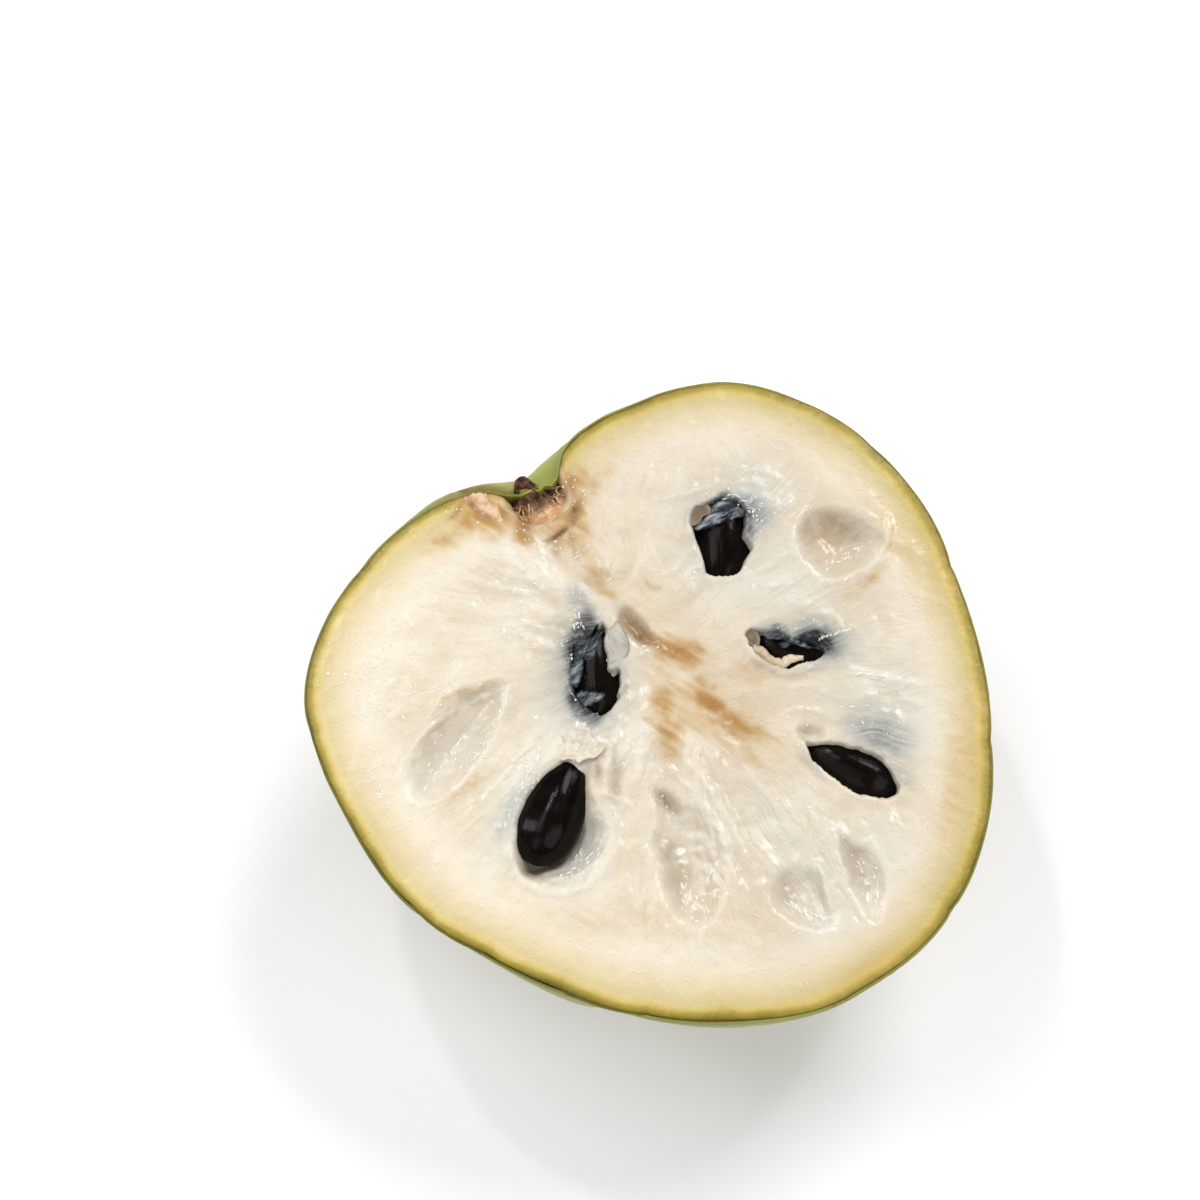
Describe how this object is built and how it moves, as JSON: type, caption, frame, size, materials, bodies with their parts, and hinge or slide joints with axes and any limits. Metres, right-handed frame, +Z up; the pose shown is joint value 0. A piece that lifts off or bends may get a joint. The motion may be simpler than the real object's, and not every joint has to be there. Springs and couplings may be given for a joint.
{
  "type": "custard apple half",
  "caption": "Half of a custard apple lying on its scaly skin with the cut face up, dark seeds lying in hollows of the flesh, empty hollows beside them and a stalk stump.",
  "frame": {"origin": "on the surface the fruit rests on, below the middle of its box", "axes": "+Z up out of the cut face, +Y towards the stem along the fruit's core, +X to the right seen from above"},
  "size_m": [0.1012, 0.0991, 0.0461],
  "materials": {
    "skin": "satin, waxy, green scales with brown seams",
    "flesh": "moist, cream, faintly fibrous",
    "seed_coat": "glossy black brown",
    "stalk_wood": "dry, fibrous, dark brown"
  },
  "bodies": {
    "root": {"fruit_half": "skin", "seed_top": "seed_coat", "seed_right": "seed_coat", "seed_lower_right": "seed_coat", "seed_middle": "seed_coat", "seed_lower_left": "seed_coat", "stalk_stump": "stalk_wood"}
  },
  "joints": []
}
